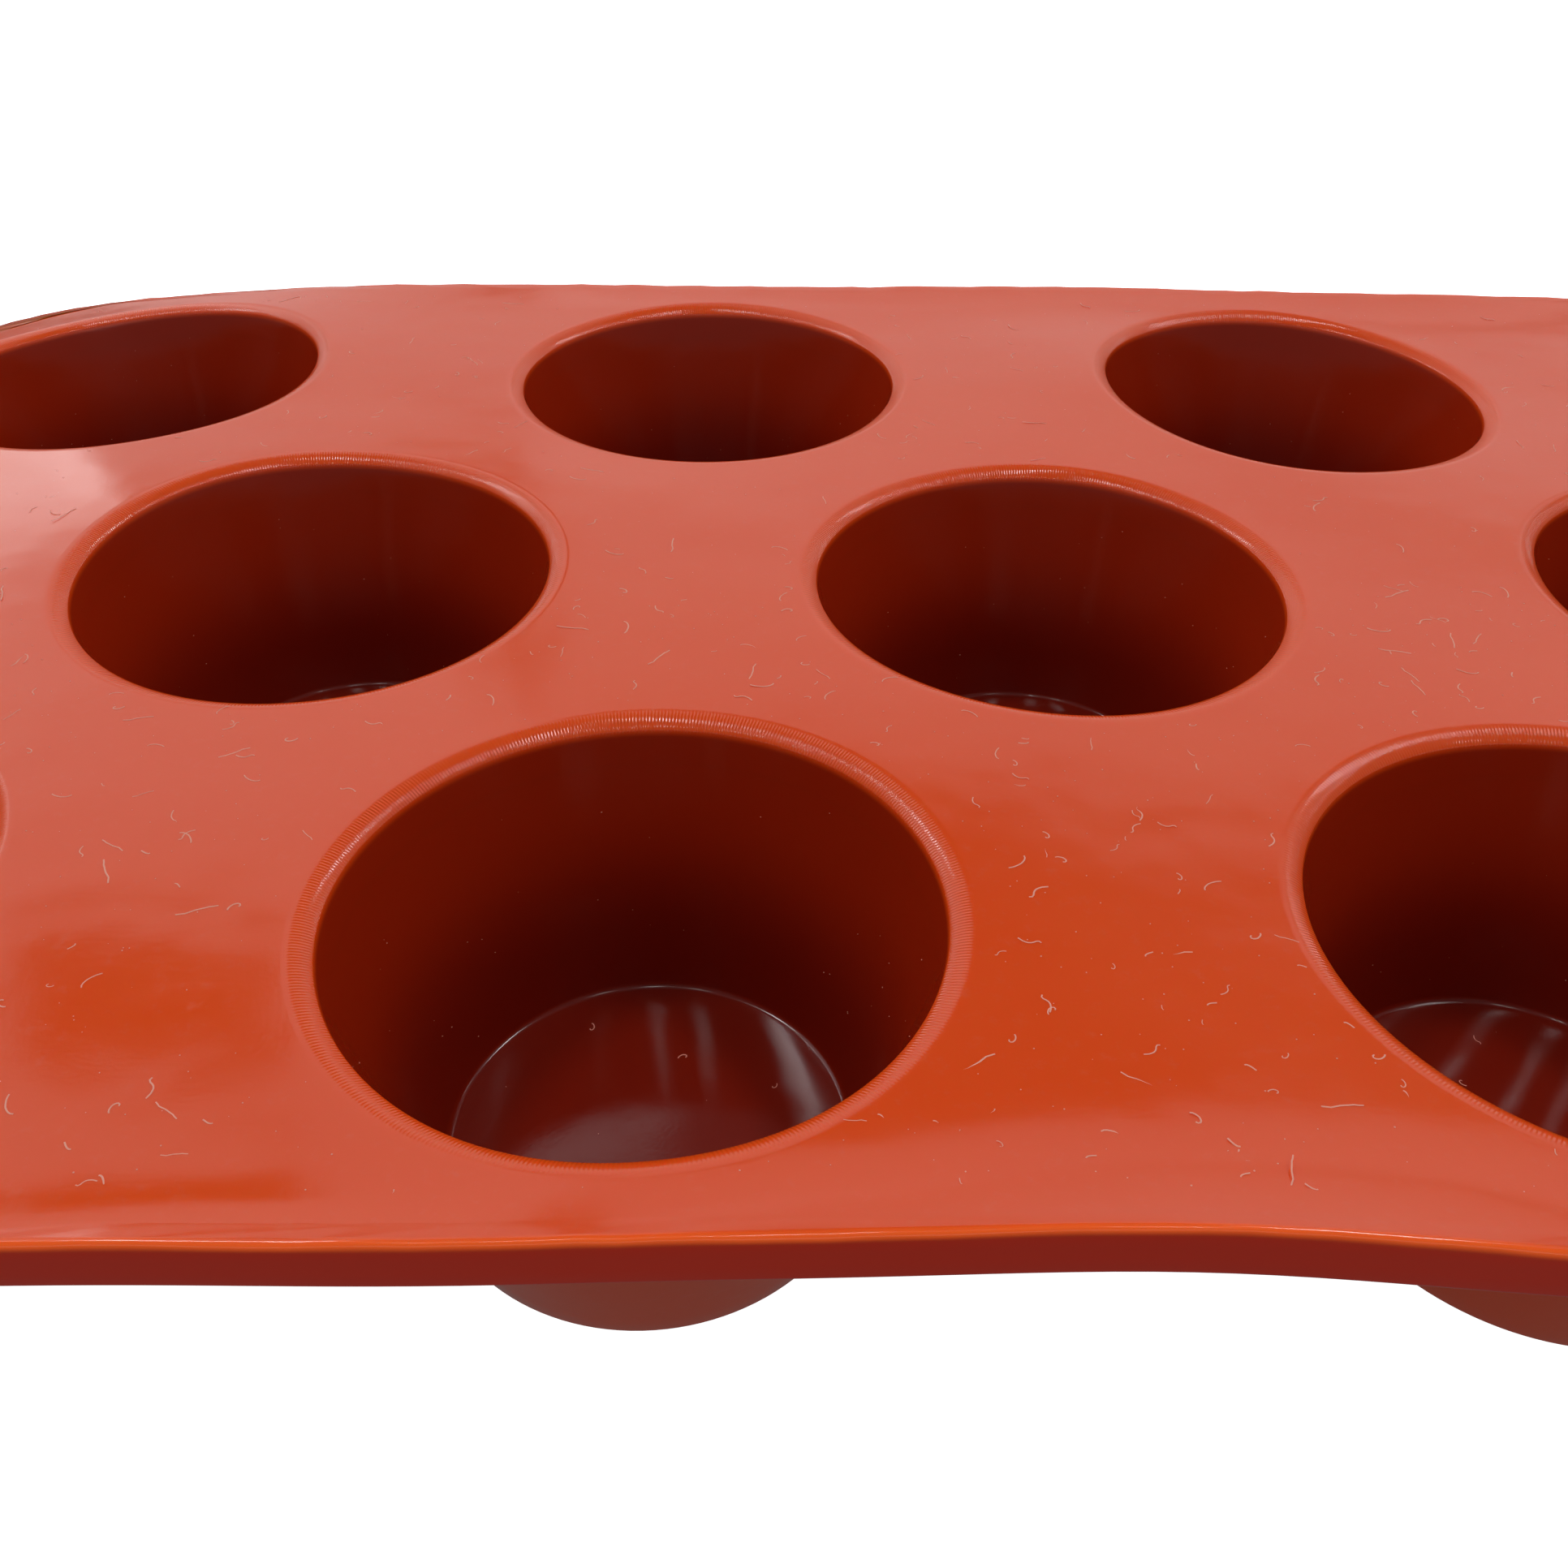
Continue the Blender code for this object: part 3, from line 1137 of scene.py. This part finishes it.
# Each panel: name, azimuths from +X, elevations, brightness. A bright one hangs nearer.
PANELS = [
    ("back_window", (50, 104), (27, 41), 0.75),
    ("back_window_foot", (50, 122), (4, 27), 0.62),
    ("back_left_window", (104, 150), (27, 56), 0.95),
    ("left_window", (122, 142), (14, 27), 2.0),
    ("left_wall", (150, 180), (30, 60), 0.60),
    ("right_window", (30, 34), (16, 46), 4.0),
    ("right_wall", (0, 50), (12, 60), 0.20),
    ("front_left_strip", (180, 240), (17, 28), 0.85),
    ("front_strip", (240, 300), (17, 28), 0.75),
    ("front_right_strip", (300, 360), (17, 28), 0.85),
    ("right_ceiling_lamp", (8, 42), (60, 65), 19.0),
    ("left_ceiling_lamp", (150, 172), (59, 66), 17.0),
    ("front_ceiling_lamp", (256, 264), (69, 73), 20.0),
    ("front_right_ceiling_lamp", (302, 309), (66, 70), 20.0),
    ("front_left_ceiling_lamp", (224, 231), (67, 71), 20.0),
]


def direction(around, up):
    """The unit vector at an azimuth and an elevation, in radians."""
    return Vector((math.cos(around) * math.cos(up), math.sin(around) * math.cos(up), math.sin(up)))


def hang_panel(name, azimuths, elevations, brightness, distance):
    """Hangs a panel that faces the mould and fills these angles. Its brightness is its radiance."""
    around = math.radians(sum(azimuths) / 2)
    up = math.radians(sum(elevations) / 2)
    half_around = math.radians(azimuths[1] - azimuths[0]) / 2
    half_up = math.radians(elevations[1] - elevations[0]) / 2
    towards = direction(around, up)
    put_down()
    bpy.ops.object.light_add(type="AREA", location=towards * distance)
    lamp = bpy.context.object
    lamp.name = lamp.data.name = name
    lamp.rotation_euler = towards.to_track_quat("Z", "Y").to_euler()
    lamp.data.shape = "RECTANGLE"
    lamp.data.size = 2 * distance * math.tan(half_around) * math.cos(up)
    lamp.data.size_y = 2 * distance * math.tan(half_up)
    lamp.data.energy = brightness * math.pi * lamp.data.size * lamp.data.size_y
    return lamp


for panel in PANELS:
    nearer = NEARER if panel[-1] > BRIGHT else 0.0
    hang_panel(*panel, PANEL_DISTANCE - nearer)
print(len(PANELS), "lights")

# %% [markdown]
# ## A dark card
#
# Something dark stands between the mould and the window on the left. It shows in the deck as a
# dark patch with round corners, so a black card is hung there, where the camera can't see it.

# %% Hang a black card
CARD_FACES = Vector((-0.075, -0.066, DECK_TOP))
CARD_AZIMUTH = math.radians(121.5)
CARD_ELEVATION = math.radians(41.8)
CARD_DISTANCE = 0.35
CARD_SIZE = (0.074, 0.044)
CARD_TILT = math.radians(-23)
CARD_CORNER = 0.008
CARD_CORNER_STEPS = 6

card_towards = direction(CARD_AZIMUTH, CARD_ELEVATION)
put_down()
bpy.ops.mesh.primitive_plane_add(size=1, location=CARD_FACES + card_towards * CARD_DISTANCE)
card = bpy.context.object
card.name = "black_card"
bpy.ops.object.mode_set(mode="EDIT")
bpy.ops.transform.resize(value=(*CARD_SIZE, 1))
bpy.ops.mesh.bevel(offset=CARD_CORNER, segments=CARD_CORNER_STEPS, affect="VERTICES")
bpy.ops.object.mode_set(mode="OBJECT")
card_turn = card_towards.to_track_quat("Z", "Y").to_matrix() @ Matrix.Rotation(CARD_TILT, 3, "Z")
card.rotation_euler = card_turn.to_euler()
black = Finish("black_card")
black.feed(black.shader.inputs["Base Color"], (0.02, 0.02, 0.02, 1))
black.feed(black.shader.inputs["Roughness"], 0.9)
black.wear(card)
card.visible_camera = False
print("the card hangs at", [round(c, 3) for c in card.location])

# %% [markdown]
# ## The camera
#
# The camera looks down at the front and middle rows from close in front, a little left of the
# mould's middle, with a wide lens. It is placed by its position and by three angles: how far it
# looks down, how far it is turned, and a slight roll.

# %% Set up the camera
CAMERA_PLACE = Vector((-0.02756, -0.14268, 0.11083))
LENS = 34.28
LOOK_DOWN = math.radians(37.733)
LOOK_LEFT = math.radians(0.391)
ROLL = math.radians(0.751)

forward = Vector(
    (
        -math.sin(LOOK_LEFT) * math.cos(LOOK_DOWN),
        math.cos(LOOK_LEFT) * math.cos(LOOK_DOWN),
        -math.sin(LOOK_DOWN),
    )
)
level_right = Vector((math.cos(LOOK_LEFT), math.sin(LOOK_LEFT), 0))
level_up = level_right.cross(forward)
right = level_right * math.cos(ROLL) + level_up * math.sin(ROLL)
up = level_up * math.cos(ROLL) - level_right * math.sin(ROLL)

put_down()
bpy.ops.object.camera_add(location=CAMERA_PLACE)
camera = bpy.context.object
camera.name = "portrait_camera"
turn = Matrix((right, up, -forward)).transposed().to_4x4()
camera.matrix_world = Matrix.Translation(CAMERA_PLACE) @ turn
camera.data.lens = LENS
camera.data.sensor_width = 36
camera.data.clip_start = 0.005
camera.data.clip_end = 20
bpy.context.scene.camera = camera
bpy.context.scene.view_settings.view_transform = "Standard"
print("the camera looks along", [round(c, 3) for c in forward])
